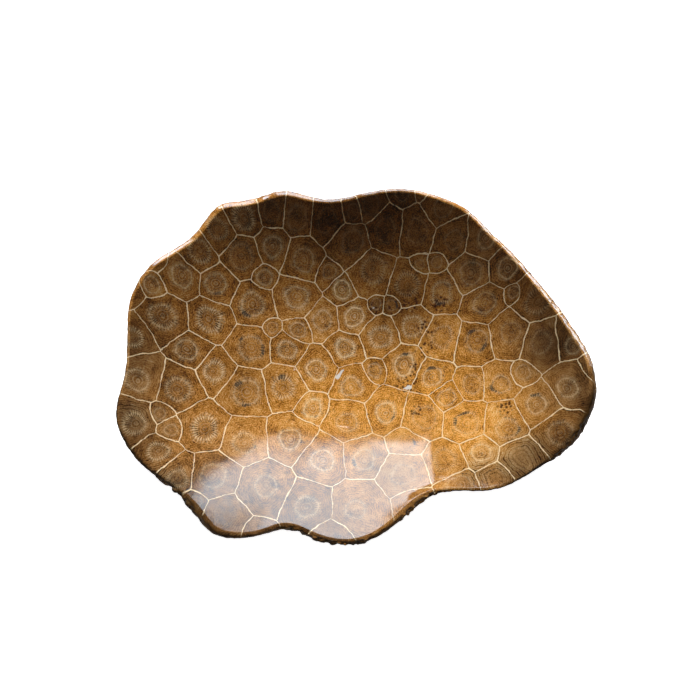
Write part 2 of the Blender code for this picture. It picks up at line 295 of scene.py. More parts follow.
# Skin is 0 on the polished dish and the top of the lip, and 1 on the outside, which is left as it was
# ground. It begins at a steeper place on the back's lip than on the front's.
BACK_START = 0.0
BACK_BLEND = 16.0
SKIN_TILT_BACK = 0.62
SKIN_TILT_FRONT = 0.12
SKIN_BLEND_BACK = 0.3
SKIN_BLEND_FRONT = 0.75
UNDERSIDE_BLEND = 0.25
LIP_TILT = -0.3
LIP_TILT_BLEND = 0.2
LIP_START = 32.0
LIP_BLEND = 2.0
out = points[:, :2] / np.linalg.norm(points[:, :2], axis=1)[:, None]
tilt = np.sum(normals[:, :2] * out, axis=1)
front = rise(points[:, 1], BACK_START, -BACK_BLEND)
skin_tilt = SKIN_TILT_BACK + (SKIN_TILT_FRONT - SKIN_TILT_BACK) * front
skin_blend = SKIN_BLEND_BACK + (SKIN_BLEND_FRONT - SKIN_BLEND_BACK) * front
skin = rise(tilt, skin_tilt, skin_blend)
skin = np.maximum(skin, rise(normals[:, 2], 0.0, -UNDERSIDE_BLEND))
lip = rise(tilt, LIP_TILT, LIP_TILT_BLEND) * rise(points[:, 2], LIP_START, LIP_BLEND)

# A wobble takes the ruled look from the walls, and outside the tubes lean to the left as they go down.
MARKS_ORIGIN = (-0.2, 0.6)
WOBBLE_LENGTH = 8.5
WOBBLE = 0.7
FINE_WOBBLE_LENGTH = 3.0
FINE_WOBBLE = 0.38
LEAN = 0.25
LIP_HEIGHT = 37.0
lean = skin * LEAN * np.maximum(LIP_HEIGHT - points[:, 2], 0.0)
plan = np.zeros((vertex_count, 3))
for index, point in enumerate(points):
    place = Vector(point)
    wobble = noise.noise_vector(place / WOBBLE_LENGTH) * WOBBLE
    wobble += noise.noise_vector(place / FINE_WOBBLE_LENGTH) * FINE_WOBBLE
    plan[index, 0] = point[0] - MARKS_ORIGIN[0] + wobble.x + lean[index]
    plan[index, 1] = point[1] - MARKS_ORIGIN[1] + wobble.y

# A polishing wheel leaves the wall of the dish more even than the mesh, so its normals are evened sideways.
# In front, right of the widest lobe, the wall turns a corner, so that the window doesn't show beyond it. The
# lip's inner side is a little flatter just before that corner.
WALL_TOP = 32.0
WALL_TILT = -0.25
WALL_START = 20.0
WALL_BLEND = 15.0
EVENING_PASSES = 150
LEAST_SHARE = 0.001
CORNER_START = 32.5
CORNER_WIDTH = 2.5
CORNER_BACK = -20.0
CORNER_TURN = 0.07
EASED_LIP = (26.0, -58.5)
EASED_REACH = 6.5
EASING = 0.1
edge_ends = np.empty(2 * len(mesh.edges), int)
mesh.edges.foreach_get("vertices", edge_ends)
one_end, other_end = edge_ends.reshape(-1, 2).T
neighbours = 1 + np.bincount(edge_ends, minlength=vertex_count)
sideways = normals[:, 1] * out[:, 0] - normals[:, 0] * out[:, 1]
on_wall = (skin == 0.0) & ((points[:, 2] < WALL_TOP) | (tilt < WALL_TILT))
evened = np.stack([sideways * on_wall, on_wall.astype(float)])
for _ in range(EVENING_PASSES):
    evened = np.stack(
        [
            values
            + np.bincount(one_end, values[other_end], vertex_count)
            + np.bincount(other_end, values[one_end], vertex_count)
            for values in evened
        ]
    )
    evened /= neighbours
share = on_wall * rise(np.linalg.norm(points[:, :2], axis=1), WALL_START, WALL_BLEND)
sideways += share * (evened[0] / np.maximum(evened[1], LEAST_SHARE) - sideways)
past_corner = rise(points[:, 0], CORNER_START, CORNER_WIDTH)
sideways -= CORNER_TURN * past_corner * rise(points[:, 1], CORNER_BACK, -BACK_BLEND)
to_eased = np.linalg.norm(points[:, :2] - EASED_LIP, axis=1)
outwards = tilt + EASING * np.exp(-((to_eased / EASED_REACH) ** 2))
level = out * outwards[:, None] + np.stack([-out[:, 1], out[:, 0]], axis=1) * sideways[:, None]
smooth = np.column_stack([level, normals[:, 2]])
smooth /= np.linalg.norm(smooth, axis=1)[:, None]
mesh.normals_split_custom_set_from_vertices(smooth.tolist())

# The walls lie where two cells have grown equally far. A face keeps the three cells that are nearest to it,
# and each of its corners how far it lies on either side of the three walls between them.
FLATTEST_CROSSING = 0.3
NO_DISTANCE = 0.001
cells = np.array(CORALLITES)
away = plan[:, None, :2] - cells[None, :, :2]
distance = np.linalg.norm(away, axis=2)
growth = cells[:, 3] * (distance - cells[:, 2])
slope = cells[:, 3][:, None] * away / np.maximum(distance, NO_DISTANCE)[:, :, None]

face_growth = np.add.reduceat(growth[corner_vertex], corner_start, axis=0)
nearest = np.argsort(face_growth, axis=1)[:, :3]
corner_nearest = nearest[corner_face]
gaps = np.empty((corner_count, 3))
for column, (one, other) in enumerate(((0, 1), (0, 2), (1, 2))):
    first = corner_nearest[:, one]
    second = corner_nearest[:, other]
    difference = growth[corner_vertex, first] - growth[corner_vertex, second]
    steepness = np.linalg.norm(slope[corner_vertex, first] - slope[corner_vertex, second], axis=1)
    gaps[:, column] = difference / np.maximum(steepness, FLATTEST_CROSSING)


def keep(name, domain, values):
    """Keeps values on the mesh for the material, as an attribute of vectors or of single numbers."""
    kind, field = ("FLOAT_VECTOR", "vector") if values.ndim == 2 else ("FLOAT", "value")
    attribute = mesh.attributes.new(name, kind, domain)
    attribute.data.foreach_set(field, values.ravel())


keep("plan", "POINT", plan)
keep("skin", "POINT", skin)
keep("wall_gaps", "CORNER", gaps)
for column, letter in enumerate("abc"):
    chosen = cells[nearest[:, column]]
    keep("ring_" + letter, "FACE", chosen[:, 4:7])
    keep("look_" + letter, "FACE", np.column_stack([chosen[:, 7:9], np.zeros(face_count)]))

# The colour of the stone changes slowly over the block: golden in front, dark brown at the back, greyish at
# both ends.
# The dark brown and greyish patches are also painted shade on the back wall, both ends, the front lobes and
# the outside of the rim. Each patch is (x, y, reach, strength) in mm.
GOLDEN_PATCHES = [
    (50, -25, 31, 0.88),
    (14, -22, 32, 0.9),
    (36, -9, 18, 1.0),
    (36, 4, 26, 0.6),
    (-8, -14, 26, 0.7),
    (-34, -18, 28, 0.4),
    (66, -40, 16, 0.4),
]
UMBER_AND_SHADE_PATCHES = [
    (5, 94, 50, 1.0),
    (-14, 62, 18, 0.7),
    (26, 60, 18, 0.6),
    (20, 32, 18, 0.7),
    (10, 20, 12, 0.25),
    (-76, 36, 18, 0.5),
    (-58, 58, 14, 0.5),
    (34, 57, 13, 0.55),
    (-86, 6, 15, 0.6),
    (-100, -38, 16, 0.9),
    (14, -48, 16, 0.5),
    (106, -30, 14, 1.0),
    (88, 8, 17, 1.0),
    (104, -20, 16, 1.0),
    (72, -54, 14, 0.6),
    (50, -56, 10, 0.45),
    (-54, -4, 18, 0.42),
    (-48, 92, 46, 1.0),
    (54, 96, 46, 1.0),
    (100, 34, 34, 1.0),
    (116, -8, 34, 1.0),
    (96, -44, 26, 0.8),
    (-98, 60, 34, 0.8),
    (-114, 10, 40, 0.9),
    (-114, -26, 30, 0.7),
    (-72, -74, 30, 0.7),
    (-22, -84, 32, 0.6),
]
GREY_AND_SHADE_PATCHES = [
    (-98, 2, 18, 0.9),
    (-95, -28, 18, 0.9),
    (88, 10, 18, 1.0),
    (100, -12, 20, 1.0),
    (56, 44, 16, 0.5),
    (14, -45, 22, 0.7),
    (78, -46, 16, 1.0),
    (-80, -60, 14, 0.9),
    (-48, -66, 30, 1.0),
    (-12, -68, 26, 0.8),
    (18, -54, 18, 0.6),
]
# The back's lip keeps little of the painted shade and takes some gold: painted light on the lip's top, which
# is weaker in the middle of the back.
LIP_MIDDLE = -5.0
LIP_MIDDLE_REACH = 45.0
LIP_MIDDLE_LIGHT = 0.3
LIP_SHADE_LIFT = 0.85
LIP_PAINTED_LIGHT = 0.15


def nearness(x, y, reach):
    """1 at a place on the plan, 0.37 at the reach, and hardly anything at twice the reach."""
    return np.exp(-((plan[:, 0] - x) ** 2 + (plan[:, 1] - y) ** 2) / reach**2)


tone_and_shade_zones = np.zeros((vertex_count, 3))
for column, patches in enumerate((GOLDEN_PATCHES, UMBER_AND_SHADE_PATCHES, GREY_AND_SHADE_PATCHES)):
    for x, y, reach, strength in patches:
        tone_and_shade_zones[:, column] = np.maximum(tone_and_shade_zones[:, column], strength * nearness(x, y, reach))
from_middle = np.abs(points[:, 0] - LIP_MIDDLE) / LIP_MIDDLE_REACH
painted_lit_lip = lip * (1.0 - front) * np.clip(from_middle, LIP_MIDDLE_LIGHT, 1.0)
tone_and_shade_zones[:, 1] *= 1.0 - LIP_SHADE_LIFT * painted_lit_lip
tone_and_shade_zones[:, 0] = np.maximum(tone_and_shade_zones[:, 0], LIP_PAINTED_LIGHT * painted_lit_lip)
keep("tone_and_shade_zones", "POINT", tone_and_shade_zones)

# Dark mineral fills parts of some rings, a few cracks hold white calcite, some cells are strongly banded,
# and dark specks gather in places. A streaked, banded or speckled place is (x, y, reach), and a calcite
# fleck is (x, y, x, y, width), all in mm.
STREAK_SPREAD = 1.3
STREAKS = [
    (-62.5, 33.5, 2.6),
    (-45.0, 32.0, 2.4),
    (-50.0, 28.0, 2.2),
    (-53.0, 17.0, 2.4),
    (-44.0, 11.0, 3.0),
    (-53.0, -6.0, 2.4),
    (-49.5, -17.0, 3.2),
    (-34.0, -1.0, 2.2),
    (22.0, 10.5, 2.4),
    (19.0, 33.0, 2.8),
    (38.0, 30.5, 3.2),
    (52.5, 18.5, 2.4),
    (57.5, 11.0, 2.4),
    (34.0, 2.5, 2.0),
    (62.0, -8.0, 2.6),
    (78.8, -13.0, 2.4),
    (48.0, -20.0, 2.8),
    (44.5, -23.0, 2.0),
    (70.0, -29.0, 2.2),
    (16.0, -19.0, 2.2),
    (27.0, -18.0, 1.4),
    (21.0, -4.0, 3.2),
    (25.0, -32.0, 2.0),
    (-44.5, -35.0, 1.4),
    (-26.0, -24.0, 1.4),
    (-24.0, -32.0, 1.4),
    (16.5, -41.0, 1.8),
    (-2.0, -42.0, 2.4),
]
CALCITE = [
    (-5.2, 3.9, -8.6, -0.6, 0.75),
    (21.4, -6.2, 23.8, -5.6, 0.9),
    (-28.4, 3.4, -28.2, 2.6, 0.18),
    (8.0, 31.2, 8.2, 31.4, 0.45),
]
BANDED = [
    (-84, -56, 10),
    (-98, -22, 6),
    (66, -46, 9),
    (54, -48, 8),
    (76, -40, 8),
]
SPECKLED = [
    (22, -4.5, 5),
    (24, -2, 4),
    (32, 22, 5),
    (30.5, 12.5, 5),
    (38, 32, 4.5),
    (24, 33, 4.5),
    (18, 31, 4),
    (27, 4, 3),
    (66, -17, 4),
    (66, -20, 3),
    (27, -17, 3),
    (8, 31, 3),
]
FAR_FROM_CALCITE = 5.0
CALCITE_POINT = 0.3


def gathered(places, spread=1.0):
    """The nearness to whichever of some places is nearest."""
    most = np.zeros(vertex_count)
    for x, y, reach in places:
        most = np.maximum(most, nearness(x, y, spread * reach))
    return most


calcite = np.full(vertex_count, FAR_FROM_CALCITE)
for x1, y1, x2, y2, width in CALCITE:
    start = np.array((x1, y1))
    run = np.array((x2, y2)) - start
    share = np.clip((plan[:, :2] - start) @ run / (run @ run), 0.0, 1.0)
    nearest_point = start + share[:, None] * run
    outside = np.linalg.norm(plan[:, :2] - nearest_point, axis=1) - width * (CALCITE_POINT + share)
    calcite = np.minimum(calcite, outside)
keep("speckled", "POINT", gathered(SPECKLED))
keep("marks", "POINT", np.stack([gathered(STREAKS, STREAK_SPREAD), calcite, gathered(BANDED)], axis=1))


def linear(hex_colour):
    """The linear RGBA of an sRGB hex colour."""
    channels = [int(hex_colour[start : start + 2], 16) / 255 for start in (1, 3, 5)]
    bright = [((c + 0.055) / 1.055) ** 2.4 if c > 0.04045 else c / 12.92 for c in channels]
    return (*bright, 1.0)


def add_node(tree, kind, inputs=None, output=0, **settings):
    """Adds a node, gives it its settings, feeds its inputs, and returns one of its outputs."""
    made = tree.nodes.new(kind)
    for name, value in settings.items():
        setattr(made, name, value)
    for socket, value in (inputs or {}).items():
        if isinstance(value, bpy.types.NodeSocket):
            tree.links.new(value, made.inputs[socket])
        else:
            made.inputs[socket].default_value = value
    return made.outputs[output] if made.outputs else made


def set_ramp(output, stops):
    """Gives the colour ramp behind an output its stops, each a place and a colour or a grey value."""
    ramp = output.node.color_ramp
    while len(ramp.elements) < len(stops):
        ramp.elements.new(0.5)
    for element, (place, colour) in zip(ramp.elements, stops):
        element.position = place
        element.color = colour if isinstance(colour, tuple) else (colour, colour, colour, 1.0)


# Polished fossil coral: agatised limestone, ground and buffed to a wet gloss inside and left matt outside.
# To the eye: cream cell walls, rings of fine radial plates, and brown mottled stone that looks lit from
# within. Its patterns are laid out in mm, so a pattern's scale is how often it repeats in 1 mm.
material = bpy.data.materials.new("polished fossil coral")
material.use_nodes = True
tree = material.node_tree
tree.nodes.clear()

MATH = "ShaderNodeMath"
VECTOR = "ShaderNodeVectorMath"
MIX = "ShaderNodeMix"
NOISE = "ShaderNodeTexNoise"
CELLS = "ShaderNodeTexVoronoi"
RANGE = "ShaderNodeMapRange"
ATTRIBUTE = "ShaderNodeAttribute"
RAMP = "ShaderNodeValToRGB"
COMBINE = "ShaderNodeCombineXYZ"
SEPARATE = "ShaderNodeSeparateXYZ"

coordinates = add_node(tree, "ShaderNodeTexCoord", output="Object")
place = add_node(tree, VECTOR, {0: coordinates, 1: (1 / MM, 1 / MM, 1 / MM)}, operation="MULTIPLY")
plan_place = add_node(tree, ATTRIBUTE, output="Vector", attribute_name="plan")
gap_vector = add_node(tree, ATTRIBUTE, output="Vector", attribute_name="wall_gaps")
skin = add_node(tree, ATTRIBUTE, output="Fac", attribute_name="skin")
zone_vector = add_node(tree, ATTRIBUTE, output="Vector", attribute_name="tone_and_shade_zones")
mark_vector = add_node(tree, ATTRIBUTE, output="Vector", attribute_name="marks")
golden, umber_and_shade, grey_and_shade = add_node(tree, SEPARATE, {0: zone_vector}).node.outputs
streak, calcite_gap, banding = add_node(tree, SEPARATE, {0: mark_vector}).node.outputs

skin_colour = add_node(tree, RANGE, {0: skin, 1: 0.0, 2: 0.4, 3: 0.0, 4: 1.0})
skin_matt = add_node(tree, RANGE, {0: skin, 1: 0.45, 2: 0.9, 3: 0.0, 4: 1.0})

# A fine tremble of 2 mm keeps the walls from looking ruled.
tremble = add_node(tree, NOISE, {"Vector": place, "Scale": 0.5, "Detail": 3.0, "Roughness": 0.6})
tremble = add_node(tree, MATH, {0: tremble, 1: 0.5}, operation="SUBTRACT")
tremble = add_node(tree, MATH, {0: tremble, 1: 0.8}, operation="MULTIPLY")
gap_vector = add_node(tree, VECTOR, {0: gap_vector, 1: tremble}, operation="ADD")
gap_ab, gap_ac, gap_bc = add_node(tree, SEPARATE, {0: gap_vector}).node.outputs
nearer_a_than_b = add_node(tree, MATH, {0: gap_ab, 1: 0.0}, operation="LESS_THAN")
nearer_a_than_c = add_node(tree, MATH, {0: gap_ac, 1: 0.0}, operation="LESS_THAN")
nearer_b_than_c = add_node(tree, MATH, {0: gap_bc, 1: 0.0}, operation="LESS_THAN")
in_a = add_node(tree, MATH, {0: nearer_a_than_b, 1: nearer_a_than_c}, operation="MULTIPLY")
gap_ab = add_node(tree, MATH, {0: gap_ab}, operation="ABSOLUTE")
gap_ac = add_node(tree, MATH, {0: gap_ac}, operation="ABSOLUTE")
gap_bc = add_node(tree, MATH, {0: gap_bc}, operation="ABSOLUTE")
gap_a = add_node(tree, MATH, {0: gap_ab, 1: gap_ac}, operation="MINIMUM")
gap_b = add_node(tree, MATH, {0: gap_ab, 1: gap_bc}, operation="MINIMUM")
gap_c = add_node(tree, MATH, {0: gap_ac, 1: gap_bc}, operation="MINIMUM")
gap = add_node(tree, MIX, {0: nearer_b_than_c, 2: gap_c, 3: gap_b}, data_type="FLOAT")
gap = add_node(tree, MIX, {0: in_a, 2: gap, 3: gap_a}, data_type="FLOAT")


def own_cell(name):
    """The vector that a point's own cell has, of the three cells that its face may lie in."""
    first = add_node(tree, ATTRIBUTE, output="Vector", attribute_name=name + "_a")
    second = add_node(tree, ATTRIBUTE, output="Vector", attribute_name=name + "_b")
    third = add_node(tree, ATTRIBUTE, output="Vector", attribute_name=name + "_c")
    other = add_node(tree, MIX, {0: nearer_b_than_c, 4: third, 5: second}, output=1, data_type="VECTOR")
    return add_node(tree, MIX, {0: in_a, 4: other, 5: first}, output=1, data_type="VECTOR")


cell = own_cell("ring")
clearness, plated = add_node(tree, SEPARATE, {0: own_cell("look")}).node.outputs[:2]
offset = add_node(tree, VECTOR, {0: plan_place, 1: cell}, operation="SUBTRACT")
offset_x, offset_y, minus_ring = add_node(tree, SEPARATE, {0: offset}).node.outputs
across = add_node(tree, COMBINE, {0: offset_x, 1: offset_y})
radius = add_node(tree, VECTOR, {0: across}, output="Value", operation="LENGTH")
angle = add_node(tree, MATH, {0: offset_y, 1: offset_x}, operation="ARCTAN2")
chance = add_node(tree, "ShaderNodeTexWhiteNoise", {"Vector": cell}, output="Color", noise_dimensions="3D")
chances = add_node(tree, "ShaderNodeSeparateColor", {0: chance}).node.outputs

# A ring is stretched a little towards the far walls of its cell, and is never quite round.
ring = add_node(tree, MATH, {0: minus_ring, 1: -1.0}, operation="MULTIPLY")
room = add_node(tree, MATH, {0: radius, 1: gap}, operation="ADD")
room = add_node(tree, MATH, {0: room, 1: ring}, operation="DIVIDE")
ring_stretch = add_node(tree, RANGE, {0: room, 1: 1.1, 2: 2.8, 3: 0.86, 4: 1.2})
ring_wave = add_node(tree, NOISE, {"Vector": place, "Scale": 0.22, "Detail": 3.0, "Roughness": 0.6})
ring_stretch = add_node(tree, MATH, {0: ring_wave, 1: 0.5, 2: ring_stretch}, operation="MULTIPLY_ADD")
ring_stretch = add_node(tree, MATH, {0: ring_stretch, 1: 0.25}, operation="SUBTRACT")
ring = add_node(tree, MATH, {0: ring, 1: ring_stretch}, operation="MULTIPLY")
reach = add_node(tree, MATH, {0: radius, 1: ring}, operation="DIVIDE")
half_reach = add_node(tree, MATH, {0: reach, 1: 0.5}, operation="MULTIPLY")

# The walls are 0.4 to 0.8 mm of pale calcite, duller in places and dull on the outside.
wall_patch = add_node(tree, NOISE, {"Vector": place, "Scale": 0.12, "Detail": 2.0})
wall_edge = add_node(tree, RANGE, {0: wall_patch, 1: 0.35, 2: 0.65, 3: 0.22, 4: 0.38})
wall = add_node(tree, RANGE, {0: gap, 1: 0.1, 2: wall_edge, 3: 1.0, 4: 0.0}, interpolation_type="SMOOTHSTEP")
wall_fade = add_node(tree, RANGE, {0: wall_patch, 1: 0.36, 2: 0.5, 3: 0.7, 4: 1.0})
wall_skin = add_node(tree, RANGE, {0: skin_colour, 1: 0.0, 2: 1.0, 3: 1.0, 4: 0.35})
wall = add_node(tree, MATH, {0: wall, 1: wall_fade}, operation="MULTIPLY")
wall = add_node(tree, MATH, {0: wall, 1: wall_skin}, operation="MULTIPLY")
wall_shadow = add_node(
    tree, RANGE, {0: gap, 1: 0.35, 2: 1.0, 3: 1.0, 4: 0.0}, interpolation_type="SMOOTHSTEP"
)

# The plates: 26 to 34 of them stand round each ring, which is 0.9 mm from one to the next.
plate_count = add_node(tree, MATH, {0: chances["Red"], 1: 8.0, 2: 26.0}, operation="MULTIPLY_ADD")
plate_count = add_node(tree, MATH, {0: plate_count}, operation="ROUND")
plate_bend = add_node(tree, NOISE, {"Vector": place, "Scale": 0.4, "Detail": 2.0})
plate_bend = add_node(tree, MATH, {0: plate_bend, 1: 7.0}, operation="MULTIPLY")
plates = add_node(tree, MATH, {0: angle, 1: plate_count, 2: plate_bend}, operation="MULTIPLY_ADD")
plates = add_node(tree, MATH, {0: plates}, operation="SINE")
plates = add_node(tree, RANGE, {0: plates, 1: -0.2, 2: 0.7, 3: 0.0, 4: 1.0})
plate_band = add_node(tree, RAMP, {0: half_reach})
set_ramp(
    plate_band,
    [(0.2, 0.0), (0.32, 0.3), (0.42, 0.75), (0.48, 1.0), (0.54, 0.7), (0.61, 0.3), (0.7, 0.0)],
)
ring_band = add_node(tree, RAMP, {0: half_reach})
set_ramp(
    ring_band,
    [
        (0.0, 0.6),
        (0.04, 0.1),
        (0.08, 0.65),
        (0.12, 0.0),
        (0.17, 0.0),
        (0.205, 0.6),
        (0.24, 0.05),
        (0.31, 0.05),
        (0.34, 0.3),
        (0.38, 0.05),
        (0.43, 0.2),
        (0.48, 0.9),
        (0.51, 0.7),
        (0.55, 0.15),
        (0.6, 0.3),
        (0.65, 0.0),
    ],
)
plate_share = add_node(tree, RANGE, {0: plated, 1: 0.0, 2: 1.0, 3: 0.35, 4: 1.0})
line_share = add_node(tree, RANGE, {0: plated, 1: 0.0, 2: 1.0, 3: 1.0, 4: 0.35})
ring_patch = add_node(tree, NOISE, {"Vector": place, "Scale": 0.8, "Detail": 3.0, "Roughness": 0.8})
ring_patch = add_node(tree, RANGE, {0: ring_patch, 1: 0.38, 2: 0.58, 3: 0.3, 4: 1.1})
plate_light = add_node(tree, MATH, {0: plate_band, 1: plates}, operation="MULTIPLY")
plate_light = add_node(tree, MATH, {0: plate_light, 1: plate_share}, operation="MULTIPLY")
ring_light = add_node(tree, MATH, {0: ring_band, 1: line_share}, operation="MULTIPLY")
ring_light = add_node(tree, MATH, {0: plate_light, 1: ring_light}, operation="MAXIMUM")
ring_light = add_node(tree, MATH, {0: ring_light, 1: clearness}, operation="MULTIPLY")
ring_light = add_node(tree, MATH, {0: ring_light, 1: ring_patch}, operation="MULTIPLY")
plate_gap = add_node(tree, MATH, {0: 1.0, 1: plates}, operation="SUBTRACT")
plate_gap = add_node(tree, MATH, {0: plate_gap, 1: plate_band}, operation="MULTIPLY")
plate_dark = add_node(tree, MATH, {0: plate_gap, 1: plate_share}, operation="MULTIPLY")
well = add_node(tree, RANGE, {0: reach, 1: 0.75, 2: 0.95, 3: 1.0, 4: 0.0}, interpolation_type="SMOOTHSTEP")

# Growth lines follow the ring near it and the wall near the wall. The real ones are 0.5 mm apart, which is
# too fine to show from here, so they are drawn 0.9 mm apart.
GROWTH_LINE_STEP = 0.9
level = add_node(tree, MATH, {0: radius, 1: gap}, operation="SUBTRACT")
growth_bend = add_node(tree, NOISE, {"Vector": place, "Scale": 0.3, "Detail": 3.0})
growth_bend = add_node(tree, MATH, {0: growth_bend, 1: 13.0}, operation="MULTIPLY")
turn = math.pi / GROWTH_LINE_STEP
lines = add_node(tree, MATH, {0: level, 1: turn, 2: growth_bend}, operation="MULTIPLY_ADD")
lines = add_node(tree, MATH, {0: lines}, operation="SINE")
lines_outside = add_node(tree, RANGE, {0: reach, 1: 0.9, 2: 1.2, 3: 0.25, 4: 1.0})
lines = add_node(tree, MATH, {0: lines, 1: lines_outside}, operation="MULTIPLY")

# Short dashes, 0.6 mm by 2 mm, lie along the growth lines. Grains of 0.5 mm and clouds of 5 mm lie over
# everything, and the grains are fainter where the stone is greyish.
direction = add_node(tree, VECTOR, {0: across}, operation="NORMALIZE")
dash_round = add_node(tree, VECTOR, {0: direction, 1: (7.0, 7.0, 0.0)}, operation="MULTIPLY")
dash_level = add_node(tree, COMBINE, {2: level})
dash_place = add_node(tree, VECTOR, {0: dash_round, 1: dash_level}, operation="ADD")
dash_place = add_node(tree, VECTOR, {0: dash_place, 1: cell}, operation="ADD")
dashes = add_node(tree, NOISE, {"Vector": dash_place, "Scale": 0.9, "Detail": 2.0, "Roughness": 0.6})
grain = add_node(tree, NOISE, {"Vector": place, "Scale": 1.9, "Detail": 2.0, "Roughness": 0.8})
cloud = add_node(tree, NOISE, {"Vector": place, "Scale": 0.2, "Detail": 3.0, "Roughness": 0.6})

grain_depth = add_node(tree, RANGE, {0: grey_and_shade, 1: 0.0, 2: 0.8, 3: 1.5, 4: 0.7})
tone = add_node(tree, MATH, {0: grain, 1: 0.5}, operation="SUBTRACT")
tone = add_node(tree, MATH, {0: tone, 1: grain_depth, 2: -0.05}, operation="MULTIPLY_ADD")
tone = add_node(tree, MATH, {0: dashes, 1: 0.7, 2: tone}, operation="MULTIPLY_ADD")
tone = add_node(tree, MATH, {0: cloud, 1: 0.8, 2: tone}, operation="MULTIPLY_ADD")
tone = add_node(tree, MATH, {0: chances["Blue"], 1: 0.12, 2: tone}, operation="MULTIPLY_ADD")

# The banded cells have wide bands too, 1.8 mm apart, and stronger growth lines.
bands = add_node(tree, MATH, {0: growth_bend, 1: 0.4}, operation="MULTIPLY")
bands = add_node(tree, MATH, {0: level, 1: 0.5 * turn, 2: bands}, operation="MULTIPLY_ADD")
bands = add_node(tree, MATH, {0: bands}, operation="SINE")
bands = add_node(tree, MATH, {0: bands, 1: banding}, operation="MULTIPLY")
tone = add_node(tree, MATH, {0: bands, 1: 0.14, 2: tone}, operation="MULTIPLY_ADD")
line_depth = add_node(tree, RANGE, {0: banding, 1: 0.1, 2: 0.8, 3: 0.08, 4: 0.2})
tone = add_node(tree, MATH, {0: lines, 1: line_depth, 2: tone}, operation="MULTIPLY_ADD")
tone = add_node(tree, MATH, {0: well, 1: -0.04, 2: tone}, operation="MULTIPLY_ADD")
tone = add_node(tree, MATH, {0: plate_dark, 1: -0.16, 2: tone}, operation="MULTIPLY_ADD")
tone = add_node(tree, MATH, {0: wall_shadow, 1: -0.06, 2: tone}, operation="MULTIPLY_ADD")
tone = add_node(tree, MATH, {0: tone, 1: 0.29}, operation="SUBTRACT")
brown = add_node(tree, RAMP, {0: tone})
set_ramp(
    brown,
    [
        (0.0, linear("#22130a")),
        (0.22, linear("#5e3916")),
        (0.42, linear("#9a6529")),
        (0.58, linear("#be813e")),
        (0.76, linear("#d39c58")),
        (1.0, linear("#e6c492")),
    ],
)
gold = add_node(tree, RAMP, {0: tone})
set_ramp(
    gold,
    [
        (0.0, linear("#42220a")),
        (0.22, linear("#9a601f")),
        (0.42, linear("#dc9638")),
        (0.58, linear("#f0a950")),
        (0.76, linear("#fac475")),
        (1.0, linear("#f8deaa")),
    ],
)
ground = add_node(tree, MIX, {0: golden, 6: brown, 7: gold}, output=2, data_type="RGBA")
# Greyish places are dulled and darkened, partly the stone's own tone and partly painted shade.
dull = add_node(tree, MATH, {0: grey_and_shade, 1: 0.8}, operation="MULTIPLY")
dull = add_node(tree, MATH, {0: banding, 1: 0.7, 2: dull}, operation="MULTIPLY_ADD", use_clamp=True)
greyed = add_node(
    tree,
    "ShaderNodeHueSaturation",
    {"Color": ground, "Hue": 0.508, "Saturation": 0.88, "Value": 0.8},
)
ground = add_node(tree, MIX, {0: dull, 6: ground, 7: greyed}, output=2, data_type="RGBA")

# The dark brown zone darkens the ground, partly the stone's own colour and partly painted shade, and banded
# cells darken with it.
umber_shade_mix = add_node(tree, MATH, {0: banding, 1: 0.3}, operation="MULTIPLY")
umber_shade_mix = add_node(tree, MATH, {0: umber_and_shade, 1: 0.82, 2: umber_shade_mix}, operation="MULTIPLY_ADD", use_clamp=True)
ground = add_node(
    tree,
    MIX,
    {0: umber_shade_mix, 6: ground, 7: linear("#5a4828")},
    output=2,
    data_type="RGBA",
    blend_type="MULTIPLY",
)
ring_mix = add_node(tree, MATH, {0: ring_light, 1: 1.5}, operation="MULTIPLY", use_clamp=True)
ground = add_node(tree, MIX, {0: ring_mix, 6: ground, 7: linear("#ecd0a0")}, output=2, data_type="RGBA")

# Dark red-brown specks of about 1 mm gather in places.
specks = add_node(tree, CELLS, {"Vector": place, "Scale": 0.6}, output="Distance")
specks = add_node(tree, RANGE, {0: specks, 1: 0.25, 2: 0.5, 3: 1.0, 4: 0.0})
speck_place = add_node(tree, NOISE, {"Vector": place, "Scale": 0.11, "Detail": 3.0})
speck_place = add_node(tree, RANGE, {0: speck_place, 1: 0.56, 2: 0.66, 3: 0.0, 4: 0.45})
speckled = add_node(tree, ATTRIBUTE, output="Fac", attribute_name="speckled")
speckled = add_node(tree, RANGE, {0: speckled, 1: 0.2, 2: 0.6, 3: 0.0, 4: 0.9})
speck_place = add_node(tree, MATH, {0: speck_place, 1: speckled}, operation="MAXIMUM")
specks = add_node(tree, MATH, {0: specks, 1: speck_place}, operation="MULTIPLY")
ground = add_node(tree, MIX, {0: specks, 6: ground, 7: linear("#3a1d14")}, output=2, data_type="RGBA")

# The dark mineral sits between the plates and along the outer side of the ring.
streak_band = add_node(tree, RAMP, {0: half_reach})
set_ramp(streak_band, [(0.36, 0.0), (0.44, 0.8), (0.5, 1.0), (0.58, 0.9), (0.66, 0.0)])
streak_break = add_node(tree, NOISE, {"Vector": place, "Scale": 0.7, "Detail": 3.0, "Roughness": 0.7})
streak_gap = add_node(tree, MATH, {0: 1.0, 1: plates}, operation="SUBTRACT")
streak_break = add_node(tree, MATH, {0: streak_gap, 1: 0.15, 2: streak_break}, operation="MULTIPLY_ADD")
streak = add_node(tree, MATH, {0: streak, 1: streak_band}, operation="MULTIPLY")
streak = add_node(tree, MATH, {0: streak, 1: streak_break}, operation="MULTIPLY")
streak = add_node(tree, RANGE, {0: streak, 1: 0.26, 2: 0.46, 3: 0.0, 4: 0.85})
ground = add_node(tree, MIX, {0: streak, 6: ground, 7: linear("#35322d")}, output=2, data_type="RGBA")

